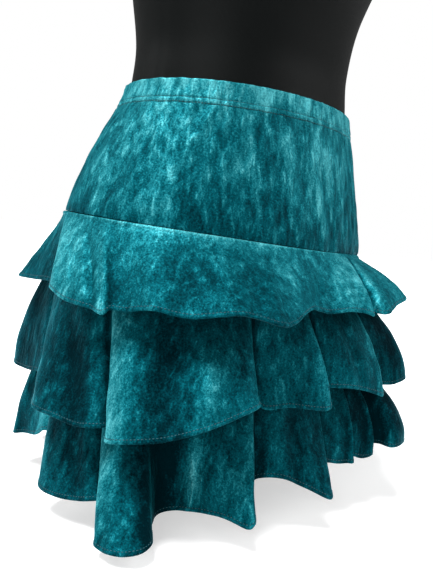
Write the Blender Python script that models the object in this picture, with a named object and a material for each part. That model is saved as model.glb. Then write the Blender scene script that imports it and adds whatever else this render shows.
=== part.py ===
"""A pull-on mini skirt in stretch velvet, worn by a limbless dress form.

The skirt has an elastic casing, a fitted yoke, an under skirt and three flounces.
The form stands on its own flat base. Units are metres, +Z is up, -Y is the
wearer's front and +X is the wearer's left. The origin is the middle of the base.
Angles go round the form from the centre front towards the wearer's left.
"""

import math
from typing import NamedTuple

import bmesh
import bpy

# Heights above the floor.
YOKE_SEAM_HEIGHT = 0.232
CASING_HEIGHT = 0.331
CASING_DEPTH = 0.020
SECOND_SEAM_DROP = 0.030
THIRD_SEAM_DROP = 0.088

# The yoke seam dips towards the front and towards the wearer's left.
FRONT_DIP = 0.052
LEFT_DIP = 0.030

# Cloth walls, and the gap left at every seam and between cloth and form.
VELVET_WALL = 0.0015
CASING_WALL = 0.0028
LINING_WALL = 0.0012
SEAM_GAP = 0.0003
LINING_GAP = 0.0008
FORM_CLEARANCE = 0.0046

# How finely the pieces are drawn.
FORM_COLUMNS = 40
FORM_ROWS = 34
BAND_COLUMNS = 60
YOKE_ROWS = 5
CASING_ROWS = 3
LINING_ROWS = 5
HALF_FOLD_STEPS = 5
FLOUNCE_ROWS = 5

# A flounce leaves its seam outwards and then hangs: the power of that curve.
FIRST_FLARE = 1.20
SECOND_FLARE = 1.75
THIRD_FLARE = 1.90
# How far the sides of a fold curl past upright, in degrees round the form,
# and the depth from which a fold curls in full.
FOLD_CURL = 1.6
FULL_CURL_DEPTH = 0.035
# Share of the seam that follows the length of hem, the rest follows the angle.
SEAM_SHARE = 0.35

BASE_ROUNDING = 0.004


class Section(NamedTuple):
    """One level oval of the body."""

    height: float
    half_width: float
    half_depth: float
    forward: float


class Fold(NamedTuple):
    """One fold of a hem: its crest, and the valley that follows it."""

    crest_angle: float
    crest_reach: float
    crest_drop: float
    valley_angle: float
    valley_reach: float
    valley_drop: float


class Finish(NamedTuple):
    """A plain material."""

    color: tuple
    roughness: float
    metallic: float


VELVET = Finish((0.010, 0.165, 0.185), 0.62, 0.0)
LINING = Finish((0.008, 0.120, 0.135), 0.75, 0.0)
KNIT = Finish((0.012, 0.012, 0.014), 0.68, 0.0)

# The cloth's own ovals, which the casing, the yoke and the under skirt follow.
CLOTH_SECTIONS = (
    Section(0.117, 0.1570, 0.1180, 0.0000),
    Section(0.177, 0.1630, 0.1220, 0.0000),
    Section(0.232, 0.1657, 0.1242, 0.0000),
    Section(0.287, 0.1485, 0.1120, 0.0040),
    Section(0.341, 0.1271, 0.0966, 0.0105),
    Section(0.359, 0.1236, 0.0938, 0.0110),
)

# The form below the yoke seam and above the casing.
LOWER_FORM_SECTIONS = (
    Section(0.000, 0.0740, 0.0560, 0.0000),
    Section(0.012, 0.0860, 0.0670, 0.0000),
    Section(0.030, 0.0980, 0.0780, 0.0000),
    Section(0.060, 0.1130, 0.0890, 0.0000),
    Section(0.097, 0.1310, 0.1010, 0.0000),
    Section(0.137, 0.1490, 0.1110, 0.0000),
)
UPPER_FORM_SECTIONS = (
    Section(0.390, 0.1165, 0.0890, 0.0100),
    Section(0.437, 0.1235, 0.0960, 0.0090),
    Section(0.487, 0.1350, 0.1090, 0.0140),
    Section(0.532, 0.1440, 0.1200, 0.0190),
    Section(0.577, 0.1490, 0.1120, 0.0140),
    Section(0.627, 0.1540, 0.0980, 0.0040),
    Section(0.667, 0.1560, 0.0820, -0.0040),
    Section(0.692, 0.1420, 0.0710, -0.0070),
    Section(0.715, 0.1080, 0.0620, -0.0080),
    Section(0.735, 0.0760, 0.0570, -0.0080),
    Section(0.755, 0.0610, 0.0540, -0.0080),
    Section(0.787, 0.0570, 0.0520, -0.0060),
)

FIRST_FOLDS = (
    Fold(-127, 0.185, 0.054, -112, 0.168, 0.053),
    Fold(-82, 0.200, 0.060, -77, 0.184, 0.060),
    Fold(-70, 0.194, 0.060, -66, 0.182, 0.060),
    Fold(-57, 0.200, 0.060, -47, 0.178, 0.057),
    Fold(-42, 0.201, 0.061, -28, 0.158, 0.052),
    Fold(-5, 0.171, 0.055, 0, 0.158, 0.052),
    Fold(7, 0.174, 0.054, 12, 0.162, 0.050),
    Fold(24, 0.185, 0.045, 38, 0.168, 0.050),
    Fold(52, 0.190, 0.052, 66, 0.174, 0.055),
    Fold(80, 0.204, 0.058, 94, 0.182, 0.056),
    Fold(108, 0.204, 0.060, 122, 0.172, 0.056),
    Fold(137, 0.188, 0.058, 151, 0.156, 0.054),
    Fold(165, 0.178, 0.055, 178, 0.153, 0.054),
    Fold(190, 0.178, 0.055, 202, 0.156, 0.054),
    Fold(212, 0.184, 0.056, 223, 0.165, 0.054),
)
SECOND_FOLDS = (
    Fold(-128, 0.184, 0.136, -112, 0.165, 0.134),
    Fold(-88, 0.207, 0.146, -77, 0.188, 0.146),
    Fold(-71, 0.213, 0.149, -65, 0.206, 0.147),
    Fold(-57, 0.211, 0.142, -34, 0.167, 0.131),
    Fold(-19, 0.175, 0.129, -10, 0.148, 0.124),
    Fold(4, 0.178, 0.126, 9, 0.155, 0.122),
    Fold(19, 0.185, 0.116, 33, 0.171, 0.123),
    Fold(46, 0.192, 0.124, 60, 0.166, 0.132),
    Fold(74, 0.208, 0.138, 87, 0.180, 0.140),
    Fold(100, 0.212, 0.145, 114, 0.175, 0.142),
    Fold(128, 0.200, 0.142, 142, 0.156, 0.138),
    Fold(155, 0.184, 0.138, 168, 0.148, 0.136),
    Fold(181, 0.180, 0.138, 194, 0.150, 0.137),
    Fold(207, 0.186, 0.138, 219, 0.162, 0.136),
)
THIRD_FOLDS = (
    Fold(-128, 0.181, 0.202, -111, 0.162, 0.194),
    Fold(-89, 0.195, 0.208, -78, 0.174, 0.207),
    Fold(-68, 0.223, 0.222, -60, 0.170, 0.212),
    Fold(-55, 0.173, 0.211, -51, 0.170, 0.210),
    Fold(-45, 0.201, 0.207, -35, 0.131, 0.195),
    Fold(-15, 0.172, 0.203, -6, 0.142, 0.188),
    Fold(2, 0.161, 0.187, 8, 0.152, 0.183),
    Fold(14, 0.172, 0.185, 21, 0.157, 0.180),
    Fold(30, 0.194, 0.180, 42, 0.154, 0.186),
    Fold(53, 0.190, 0.195, 63, 0.154, 0.200),
    Fold(76, 0.203, 0.208, 89, 0.162, 0.206),
    Fold(102, 0.200, 0.210, 116, 0.156, 0.206),
    Fold(130, 0.188, 0.206, 143, 0.142, 0.202),
    Fold(156, 0.178, 0.205, 169, 0.136, 0.201),
    Fold(182, 0.176, 0.205, 195, 0.140, 0.201),
    Fold(207, 0.182, 0.205, 220, 0.154, 0.201),
)


def section_at(sections, height):
    """The oval at a height, on a smooth curve through the listed ones."""
    last = len(sections) - 1
    height = min(max(height, sections[0].height), sections[last].height)
    low = 0
    while low < last - 1 and height > sections[low + 1].height:
        low += 1
    start = sections[low]
    end = sections[low + 1]
    before = sections[max(low - 1, 0)]
    after = sections[min(low + 2, last)]
    span = end.height - start.height
    part = (height - start.height) / span
    sizes = []
    for column in range(1, len(Section._fields)):
        slope_in = (end[column] - before[column]) / (end.height - before.height)
        slope_out = (after[column] - start[column]) / (after.height - start.height)
        sizes.append(
            start[column] * (1 - part) ** 2 * (1 + 2 * part)
            + end[column] * part**2 * (3 - 2 * part)
            + slope_in * span * part * (1 - part) ** 2
            - slope_out * span * part**2 * (1 - part)
        )
    return Section(height, *sizes)


def oval_point(section, angle, outward, height):
    """A point of an oval at an angle, moved outwards and set at a height."""
    turn = math.radians(angle)
    wide = section.half_width + outward
    deep = section.half_depth + outward
    reach = 1 / math.hypot(math.sin(turn) / wide, math.cos(turn) / deep)
    return (
        reach * math.sin(turn),
        -reach * math.cos(turn) - section.forward,
        height,
    )


def seam_height(drop, angle):
    """Height of a seam that lies a drop below the yoke seam, with the same dip."""
    section = section_at(CLOTH_SECTIONS, YOKE_SEAM_HEIGHT - drop)
    across, along, _ = oval_point(section, angle, 0, 0)
    return YOKE_SEAM_HEIGHT - drop + FRONT_DIP * along - LEFT_DIP * across


def even_angles(count):
    """Angles evenly spaced round the form."""
    return [360 * column / count for column in range(count)]


def cross(first, second):
    """The cross product of two vectors."""
    return (
        first[1] * second[2] - first[2] * second[1],
        first[2] * second[0] - first[0] * second[2],
        first[0] * second[1] - first[1] * second[0],
    )


def grid_normal(grid, row, column):
    """The outward normal of a surface grid that closes round the form."""
    columns = len(grid[0])
    left = grid[row][column - 1]
    right = grid[row][(column + 1) % columns]
    above = grid[max(row - 1, 0)][column]
    below = grid[min(row + 1, len(grid) - 1)][column]
    around = [b - a for a, b in zip(left, right)]
    upwards = [b - a for a, b in zip(below, above)]
    normal = cross(around, upwards)
    length = math.sqrt(sum(value * value for value in normal))
    return [value / length for value in normal]


def moved_grid(grid, distance):
    """The grid's points moved along their normals."""
    moved = []
    for row, points in enumerate(grid):
        moved_row = []
        for column, point in enumerate(points):
            normal = grid_normal(grid, row, column)
            moved_row.append([a + distance * b for a, b in zip(point, normal)])
        moved.append(moved_row)
    return moved


def finished_object(name, vertices, faces, finish):
    """A named object with its own material, from points and faces."""
    mesh = bpy.data.meshes.new(name)
    mesh.from_pydata(vertices, [], faces)
    shape = bmesh.new()
    shape.from_mesh(mesh)
    bmesh.ops.recalc_face_normals(shape, faces=shape.faces)
    bmesh.ops.triangulate(shape, faces=shape.faces)
    shape.to_mesh(mesh)
    shape.free()
    for polygon in mesh.polygons:
        polygon.use_smooth = True
    material = bpy.data.materials.new(name)
    material.use_nodes = True
    shader = material.node_tree.nodes["Principled BSDF"]
    shader.inputs["Base Color"].default_value = (*finish.color, 1)
    shader.inputs["Roughness"].default_value = finish.roughness
    shader.inputs["Metallic"].default_value = finish.metallic
    material.diffuse_color = (*finish.color, 1)
    mesh.materials.append(material)
    made = bpy.data.objects.new(name, mesh)
    bpy.context.scene.collection.objects.link(made)
    return made


def cloth_wall(name, grid, wall, finish):
    """A closed wall of cloth on both sides of a grid, rows from top to bottom."""
    columns = len(grid[0])
    rows = len(grid)
    outer = moved_grid(grid, wall / 2)
    inner = moved_grid(grid, -wall / 2)
    vertices = [point for row in outer + inner for point in row]
    inside = rows * columns
    faces = []
    for row in range(rows - 1):
        for column in range(columns):
            following = (column + 1) % columns
            corners = (
                row * columns + column,
                row * columns + following,
                (row + 1) * columns + following,
                (row + 1) * columns + column,
            )
            faces.append(corners)
            faces.append(tuple(inside + corner for corner in reversed(corners)))
    for row in (0, rows - 1):
        for column in range(columns):
            start = row * columns + column
            end = row * columns + (column + 1) % columns
            faces.append((start, end, inside + end, inside + start))
    return finished_object(name, vertices, faces, finish)


def band_grid(rows, top_of, bottom_of, outward):
    """A smooth tube of cloth between two heights, each worked out per angle."""
    grid = []
    for row in range(rows + 1):
        points = []
        for angle in even_angles(BAND_COLUMNS):
            part = row / rows
            height = top_of(angle) * (1 - part) + bottom_of(angle) * part
            section = section_at(CLOTH_SECTIONS, height)
            points.append(oval_point(section, angle, outward, height))
        grid.append(points)
    return grid


def hem_points(folds):
    """(angle, seam_angle, reach, drop) round a hem, valley to crest to valley."""
    points = []
    for index, fold in enumerate(folds):
        before = folds[index - 1]
        turn_back = 360 if index == 0 else 0
        start = (before.valley_angle - turn_back, before.valley_reach, before.valley_drop)
        crest = (fold.crest_angle, fold.crest_reach, fold.crest_drop)
        end = (fold.valley_angle, fold.valley_reach, fold.valley_drop)
        for first, second in ((start, crest), (crest, end)):
            depth = abs(second[1] - first[1])
            curl_size = FOLD_CURL * min(1, depth / FULL_CURL_DEPTH)
            for step in range(HALF_FOLD_STEPS):
                part = step / HALF_FOLD_STEPS
                blend = (1 - math.cos(math.pi * part)) / 2
                seam_angle = first[0] + (second[0] - first[0]) * part
                curl = curl_size * math.sin(2 * math.pi * part)
                reach = first[1] + (second[1] - first[1]) * blend
                drop = first[2] + (second[2] - first[2]) * blend
                points.append((seam_angle + curl, seam_angle, reach, drop))
    return points


def hem_shares(points):
    """How far round the hem each point lies, as a share of its whole length."""
    flat = []
    for angle, _, reach, _ in points:
        turn = math.radians(angle)
        flat.append((reach * math.sin(turn), -reach * math.cos(turn)))
    lengths = [math.dist(flat[index - 1], point) for index, point in enumerate(flat)]
    lengths[0] = math.dist(flat[-1], flat[0])
    total = sum(lengths)
    shares = []
    walked = 0
    for index in range(len(flat)):
        shares.append(walked / total)
        walked += lengths[(index + 1) % len(flat)]
    return shares


def flounce_grid(folds, flare, seam_drop, outward, gap):
    """A flounce from its smooth seam to its folded hem."""
    hem = hem_points(folds)
    shares = hem_shares(hem)
    first_angle = hem[0][0]
    section = section_at(CLOTH_SECTIONS, YOKE_SEAM_HEIGHT - seam_drop)
    columns = []
    for (angle, straight_angle, reach, drop), share in zip(hem, shares):
        even_angle = first_angle + 360 * share
        seam_angle = straight_angle * (1 - SEAM_SHARE) + even_angle * SEAM_SHARE
        top = oval_point(section, seam_angle, outward, seam_height(seam_drop, seam_angle) - gap)
        turn = math.radians(angle)
        end = (reach * math.sin(turn), -reach * math.cos(turn), YOKE_SEAM_HEIGHT - drop)
        columns.append((top, end))
    grid = []
    for row in range(FLOUNCE_ROWS + 1):
        part = row / FLOUNCE_ROWS
        out = 1 - (1 - part) ** flare
        points = []
        for top, end in columns:
            points.append(
                (
                    top[0] + (end[0] - top[0]) * out,
                    top[1] + (end[1] - top[1]) * out,
                    top[2] + (end[2] - top[2]) * part,
                )
            )
        grid.append(points)
    return grid


def form_sections():
    """Ovals of the whole form: under the cloth it keeps clear of the cloth."""
    covered = []
    for section in CLOTH_SECTIONS[1:]:
        covered.append(
            Section(
                section.height,
                section.half_width - FORM_CLEARANCE,
                section.half_depth - FORM_CLEARANCE,
                section.forward,
            )
        )
    return (*LOWER_FORM_SECTIONS, *covered, *UPPER_FORM_SECTIONS)


def build_dress_form():
    """The form: one closed body with a flat base and a flat neck cap."""
    sections = form_sections()
    low = sections[0].height
    high = sections[-1].height
    rings = [(low, -BASE_ROUNDING), (low + BASE_ROUNDING, 0)]
    for row in range(1, FORM_ROWS):
        rings.append((low + (high - low) * row / FORM_ROWS, 0))
    rings.append((high - BASE_ROUNDING, 0))
    rings.append((high, -BASE_ROUNDING))
    vertices = []
    for height, outward in rings:
        section = section_at(sections, height)
        for angle in even_angles(FORM_COLUMNS):
            vertices.append(oval_point(section, angle, outward, height))
    faces = []
    for ring in range(len(rings) - 1):
        for column in range(FORM_COLUMNS):
            following = (column + 1) % FORM_COLUMNS
            faces.append(
                (
                    ring * FORM_COLUMNS + column,
                    ring * FORM_COLUMNS + following,
                    (ring + 1) * FORM_COLUMNS + following,
                    (ring + 1) * FORM_COLUMNS + column,
                )
            )
    faces.append(tuple(range(FORM_COLUMNS)))
    top_start = (len(rings) - 1) * FORM_COLUMNS
    faces.append(tuple(range(top_start, top_start + FORM_COLUMNS)))
    return finished_object("dress_form", vertices, faces, KNIT)


def build_casing():
    """The folded elastic casing at the waist."""
    grid = band_grid(
        CASING_ROWS,
        lambda angle: CASING_HEIGHT + CASING_DEPTH,
        lambda angle: CASING_HEIGHT,
        -CASING_WALL / 2,
    )
    return cloth_wall("waist_casing", grid, CASING_WALL, VELVET)


def build_yoke():
    """The fitted yoke between the casing and the first flounce."""
    grid = band_grid(
        YOKE_ROWS,
        lambda angle: CASING_HEIGHT - SEAM_GAP,
        lambda angle: seam_height(0, angle),
        -VELVET_WALL / 2,
    )
    return cloth_wall("yoke", grid, VELVET_WALL, VELVET)


def build_under_skirt():
    """The plain tube that carries the second and third flounces."""
    grid = band_grid(
        LINING_ROWS,
        lambda angle: seam_height(0, angle) - SEAM_GAP,
        lambda angle: seam_height(THIRD_SEAM_DROP, angle),
        -VELVET_WALL - LINING_GAP - LINING_WALL / 2,
    )
    return cloth_wall("under_skirt", grid, LINING_WALL, LINING)


def build_flounces():
    """The three flounces, from the top one down."""
    first = flounce_grid(
        FIRST_FOLDS, FIRST_FLARE, 0, -VELVET_WALL / 2, SEAM_GAP + VELVET_WALL / 2
    )
    second = flounce_grid(
        SECOND_FOLDS, SECOND_FLARE, SECOND_SEAM_DROP, -VELVET_WALL / 2 + SEAM_GAP, 0
    )
    third = flounce_grid(
        THIRD_FOLDS,
        THIRD_FLARE,
        THIRD_SEAM_DROP,
        -VELVET_WALL - LINING_GAP - LINING_WALL / 2,
        SEAM_GAP + VELVET_WALL / 2,
    )
    return [
        cloth_wall("flounce_1", first, VELVET_WALL, VELVET),
        cloth_wall("flounce_2", second, VELVET_WALL, VELVET),
        cloth_wall("flounce_3", third, VELVET_WALL, VELVET),
    ]


def main():
    """Clears the scene and builds every piece."""
    for old in list(bpy.data.objects):
        bpy.data.objects.remove(old, do_unlink=True)
    build_dress_form()
    build_casing()
    build_yoke()
    build_under_skirt()
    build_flounces()


main()
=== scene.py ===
"""Looks of a crushed velvet mini skirt worn by a limbless dress form.

Units are metres, +Z is up, -Y is the wearer's front and +X is the wearer's left.
Angles go round the form from the centre front towards the wearer's left.
"""

import logging
import math
from dataclasses import astuple, dataclass
from enum import Enum
from typing import Callable, Mapping, Sequence

import bpy
import numpy as np
from mathutils import Matrix, Vector


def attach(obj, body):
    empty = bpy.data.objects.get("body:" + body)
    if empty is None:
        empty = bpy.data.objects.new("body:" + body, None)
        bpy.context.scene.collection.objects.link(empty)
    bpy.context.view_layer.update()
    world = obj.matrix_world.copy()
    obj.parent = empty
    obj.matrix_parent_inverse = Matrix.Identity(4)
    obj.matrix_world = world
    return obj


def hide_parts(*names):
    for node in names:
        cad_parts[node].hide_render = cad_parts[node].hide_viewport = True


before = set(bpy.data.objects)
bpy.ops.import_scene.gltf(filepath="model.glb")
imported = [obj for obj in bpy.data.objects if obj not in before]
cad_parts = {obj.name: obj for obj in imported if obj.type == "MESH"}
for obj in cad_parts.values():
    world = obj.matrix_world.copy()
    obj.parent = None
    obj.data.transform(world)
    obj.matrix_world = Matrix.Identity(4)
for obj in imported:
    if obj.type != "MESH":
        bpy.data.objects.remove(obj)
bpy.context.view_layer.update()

Array = np.ndarray
Socket = bpy.types.NodeSocket
Material = bpy.types.Material
Pair = tuple[float, float]

LOG = logging.getLogger("skirt")
BODY = "root"

# Heights and gaps of the skirt, as its solids have them.
YOKE_SEAM_HEIGHT = 0.232
CASING_HEIGHT = 0.331
CASING_DEPTH = 0.020
SECOND_SEAM_DROP = 0.030
THIRD_SEAM_DROP = 0.088
FRONT_DIP = 0.052
LEFT_DIP = 0.030
VELVET_WALL = 0.0015
CASING_WALL = 0.0028
LINING_WALL = 0.0012
SEAM_GAP = 0.0003
LINING_GAP = 0.0008
LINING_LOWERED = 0.003
BASE_ROUNDING = 0.004
FRONT_SEAM_ANGLE = -2.0
CASING_STITCH_ROWS = (-2, -8)

# How finely lines and surfaces are sampled before their rows are spread.
CURVE_STEPS = 24
FLOUNCE_SAMPLES = 160
BAND_SAMPLES = 120
# Depth of a turned hem, how softly it ends, and the least share of a round edge.
HEM_TURN = 0.0033
HEM_TURN_EDGE = 0.00035
EDGE_LEAST = 0.2
# Usual distance of the form's surface from its axis.
FORM_REACH = 0.13
WHITE = (1.0, 1.0, 1.0, 1.0)
MAP_NAME = "cloth_lengths"
# Mesh layer of painted light and shade on folds, with the swept pile.
NAP_AND_LIGHT_NAME = "nap"


@dataclass(frozen=True)
class Section:
    """One level oval of the body."""

    height: float
    half_width: float
    half_depth: float
    forward: float


@dataclass(frozen=True)
class HemPoint:
    """A point that a hem passes through, and where its cloth is sewn on.

    The flare is one for cloth that leaves the body evenly, more where it leaves
    it near the seam, and less where it leaves it near the hem.
    """

    angle: float
    reach: float
    drop: float
    seam_angle: float
    flare: float = 1.0


@dataclass(frozen=True)
class Crease:
    """A soft ridge, or a trough where its depth is negative.

    The angles are where it starts and ends round the form. Start and end are
    shares of the way from the top edge of the piece to its lower edge.
    """

    start_angle: float
    end_angle: float
    start: float
    end: float
    depth: float
    width: float


@dataclass(frozen=True)
class PileAndLightPatch:
    """A soft patch that is lighter, or darker below nought: partly swept pile, partly
    painted highlight and painted shade.

    The angle is its middle round the form, and the share how far down the
    piece it lies. Spread is in degrees, and reach is a share of the way down.
    """

    angle: float
    spread: float
    share: float
    reach: float
    lift: float


def table(kind: type, *rows: tuple[float, ...]) -> tuple:
    """Records of one kind from rows of numbers, a number for each field."""
    return tuple(kind(*row) for row in rows)


# Lighter or darker patches of each piece: partly swept pile, partly painted highlight
# on ridges and painted shade in gaps between folds.
YOKE_PATCHES = table(
    PileAndLightPatch,
    (-12, 22, 0.45, 0.5, 0.75), (-86, 12, 0.78, 0.3, 0.6), (-82, 16, 0.16, 0.22, 0.45),
    (-60, 9, 0.62, 0.35, -0.2), (-112, 8, 0.5, 0.4, -0.3), (-38, 7, 0.2, 0.2, 0.35),
    (48, 16, 0.3, 0.3, 0.4), (80, 14, 0.7, 0.4, -0.3), (122, 20, 0.4, 0.4, 0.45),
    (170, 12, 0.6, 0.4, -0.25), (205, 16, 0.35, 0.35, 0.35),
)
FIRST_PATCHES = table(
    PileAndLightPatch,
    (-103, 8, 0.5, 0.6, 1), (-115, 4, 0.6, 0.6, -0.9), (-66, 14, 0.6, 0.34, -0.6),
    (-60, 34, 0.05, 0.09, 0.45), (-50, 45, 0.01, 0.025, 1), (-42, 6, 0.65, 0.45, -0.55),
    (-30, 5, 0.35, 0.35, 0.4), (4, 16, 0.5, 0.6, 0.75), (13, 4.5, 0.8, 0.45, -0.9),
    (-128, 7, 0.7, 0.5, -0.4), (52, 12, 0.55, 0.5, -0.5), (84, 10, 0.45, 0.5, 0.6),
    (128, 14, 0.6, 0.5, -0.4), (172, 12, 0.4, 0.5, 0.55), (208, 9, 0.6, 0.5, -0.4),
)
SECOND_PATCHES = table(
    PileAndLightPatch,
    (-79, 4.5, 0.66, 0.55, 1), (-52, 6, 0.62, 0.55, 0.3), (-99, 8, 0.42, 0.1, 0.6),
    (-96, 9, 0.68, 0.28, -0.6), (-31, 8, 0.6, 0.45, 0.35), (0, 8, 0.6, 0.45, 0.4),
    (20, 5, 0.7, 0.6, -1.6), (33, 5, 0.6, 0.6, 0.4), (-126, 8, 0.6, 0.6, -0.4),
    (60, 8, 0.6, 0.5, 0.6), (96, 10, 0.6, 0.5, -0.4), (132, 8, 0.55, 0.5, 0.6),
    (166, 9, 0.6, 0.5, -0.4), (202, 8, 0.6, 0.5, 0.5),
)
THIRD_PATCHES = table(
    PileAndLightPatch,
    (-122, 6, 0.6, 0.6, 1.3), (-106, 4, 0.46, 0.12, 0.8), (-98, 7, 0.75, 0.3, -0.35),
    (-82, 3.5, 0.6, 0.22, 0.95), (-75, 2.5, 0.75, 0.5, -0.8), (-67, 4, 0.6, 0.3, -0.9),
    (-57, 3.2, 0.74, 0.18, 1.6), (-50, 3, 0.7, 0.3, -0.4), (25, 14, 0.6, 0.6, -1.6),
    (58, 8, 0.65, 0.4, 0.6), (90, 9, 0.65, 0.4, -0.45), (118, 7, 0.6, 0.4, 0.7),
    (150, 9, 0.65, 0.4, -0.45), (184, 8, 0.6, 0.4, 0.6), (214, 8, 0.65, 0.4, -0.4),
)

CLOTH_SECTIONS = table(
    Section,
    (0.117, 0.157, 0.118, 0), (0.177, 0.163, 0.122, 0), (0.232, 0.1657, 0.1242, 0),
    (0.287, 0.1485, 0.112, 0.004), (0.341, 0.1271, 0.0966, 0.0105),
    (0.359, 0.1236, 0.0938, 0.011),
)
LOWER_FORM_SECTIONS = table(
    Section,
    (0, 0.074, 0.056, 0), (0.012, 0.086, 0.067, 0), (0.03, 0.098, 0.078, 0),
    (0.06, 0.113, 0.089, 0), (0.097, 0.131, 0.101, 0), (0.137, 0.149, 0.111, 0),
)
UPPER_FORM_SECTIONS = table(
    Section,
    (0.39, 0.1165, 0.089, 0.01), (0.437, 0.1235, 0.096, 0.009),
    (0.487, 0.135, 0.109, 0.014), (0.532, 0.144, 0.12, 0.019),
    (0.577, 0.149, 0.112, 0.014), (0.627, 0.154, 0.098, 0.004),
    (0.667, 0.156, 0.082, -0.004), (0.692, 0.142, 0.071, -0.007),
    (0.715, 0.108, 0.062, -0.008), (0.735, 0.076, 0.057, -0.008),
    (0.755, 0.061, 0.054, -0.008), (0.787, 0.057, 0.052, -0.006),
)

FIRST_HEM = table(
    HemPoint,
    (-148, 0.184, 0.056, -147, 1.2), (-138, 0.168, 0.054, -138, 1.1),
    (-127.5, 0.185, 0.055, -129, 1.05), (-115.5, 0.1765, 0.0536, -121.2, 1.19),
    (-106.1, 0.173, 0.0518, -115.5, 1.3), (-100.5, 0.174, 0.053, -110.5, 1.4),
    (-92.8, 0.196, 0.053, -107, 1.5), (-86.7, 0.2, 0.059, -101.6, 1.44),
    (-82.5, 0.2, 0.0606, -98, 1.4), (-79.3, 0.2, 0.062, -93, 1.3),
    (-76.1, 0.2025, 0.0645, -87.5, 1.2), (-76, 0.197, 0.0606, -85.3, 1.1),
    (-72.1, 0.197, 0.0602, -80.1, 1.1), (-66.4, 0.2, 0.0567, -72.4, 1.1),
    (-58.2, 0.2, 0.059, -61.5, 1.1), (-51.4, 0.2, 0.0552, -54.3, 1.04),
    (-47.4, 0.198, 0.0536, -50), (-44, 0.2, 0.0552, -46.3, 0.94),
    (-42, 0.201, 0.0566, -44, 0.9), (-39.6, 0.2, 0.0597, -39.5, 0.9),
    (-35, 0.188, 0.0581, -32, 0.9), (-30.7, 0.175, 0.053, -25, 0.9),
    (-25.1, 0.162, 0.0506, -17.5), (-18.5, 0.159, 0.0539, -8, 1.1),
    (-12.7, 0.165, 0.0514, 1, 1.3), (-7, 0.171, 0.0523, 7, 1.45),
    (-5.4, 0.174, 0.0545, 9, 1.5), (-1, 0.164, 0.0525, 11, 1.5),
    (-0.2, 0.177, 0.053, 13.5, 1.6), (7.9, 0.176, 0.0476, 18, 1.6),
    (20.5, 0.1795, 0.0435, 23, 1.6), (38, 0.168, 0.05, 38, 1.3),
    (52, 0.19, 0.052, 51.7, 1.2), (66, 0.174, 0.055, 65, 1.2),
    (80, 0.204, 0.058, 79.4, 1.2), (94, 0.182, 0.056, 93, 1.2),
    (108, 0.204, 0.06, 106.5, 1.2), (122, 0.172, 0.056, 121, 1.2),
    (137, 0.188, 0.058, 135.5, 1.2), (151, 0.156, 0.054, 151, 1.2),
    (165, 0.178, 0.055, 164.7, 1.2), (178, 0.153, 0.054, 178, 1.2),
    (190, 0.178, 0.055, 190.7, 1.2), (202, 0.156, 0.054, 203, 1.2),
)
SECOND_HEM = table(
    HemPoint,
    (-153, 0.186, 0.138, -151, 1.75), (-141, 0.162, 0.136, -141, 1.7),
    (-127.5, 0.184, 0.1345, -130, 1.9), (-118.4, 0.175, 0.1343, -125.4, 1.75),
    (-109.4, 0.171, 0.1306, -121, 1.6), (-102, 0.168, 0.132, -115, 0.9),
    (-96.2, 0.198, 0.1445, -111, 0.75), (-87, 0.205, 0.1446, -104, 0.8),
    (-78.9, 0.205, 0.1462, -95, 0.8), (-74.8, 0.199, 0.1453, -86.5, 0.8),
    (-74.1, 0.189, 0.146, -84.4, 0.8), (-72.7, 0.19, 0.148, -83.2, 0.8),
    (-71.9, 0.212, 0.1507, -81, 0.8), (-67.6, 0.215, 0.1482, -75.2, 0.9),
    (-62.9, 0.215, 0.144, -69), (-58.5, 0.212, 0.1406, -63),
    (-52.8, 0.207, 0.1343, -55), (-46.4, 0.199, 0.1251, -47.5, 0.9),
    (-41.8, 0.191, 0.1194, -44, 0.7), (-41.8, 0.172, 0.121, -42, 0.7),
    (-40.6, 0.161, 0.122, -41, 0.8), (-37.6, 0.163, 0.1287, -39),
    (-31, 0.168, 0.1257, -33.7, 1.2), (-22.1, 0.171, 0.1282, -26.7, 1.31),
    (-18.9, 0.174, 0.1272, -24, 1.35), (-17.3, 0.152, 0.117, -21, 1.4),
    (-11.8, 0.158, 0.1152, -18, 1.4), (-4.6, 0.168, 0.1167, -6.9, 1.52),
    (2.1, 0.173, 0.1217, 3.5, 1.64), (5.4, 0.177, 0.1251, 9, 1.7),
    (7.5, 0.161, 0.118, 12.5, 1.8), (13.6, 0.175, 0.1192, 16, 1.9),
    (15.5, 0.181, 0.118, 20, 1.9), (19.6, 0.1875, 0.1148, 24, 1.9),
    (33, 0.171, 0.123, 33, 1.75), (46, 0.192, 0.124, 45.8, 1.75),
    (60, 0.166, 0.132, 60, 1.75), (74, 0.208, 0.138, 74.7, 1.75),
    (87, 0.18, 0.14, 87, 1.75), (100, 0.212, 0.145, 99.9, 1.75),
    (114, 0.175, 0.142, 114, 1.75), (128, 0.2, 0.142, 126.3, 1.75),
    (142, 0.156, 0.138, 141, 1.75), (155, 0.184, 0.138, 153.9, 1.75),
    (168, 0.148, 0.136, 168, 1.75), (181, 0.18, 0.138, 181.2, 1.75),
    (194, 0.15, 0.137, 194, 1.75),
)
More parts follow.
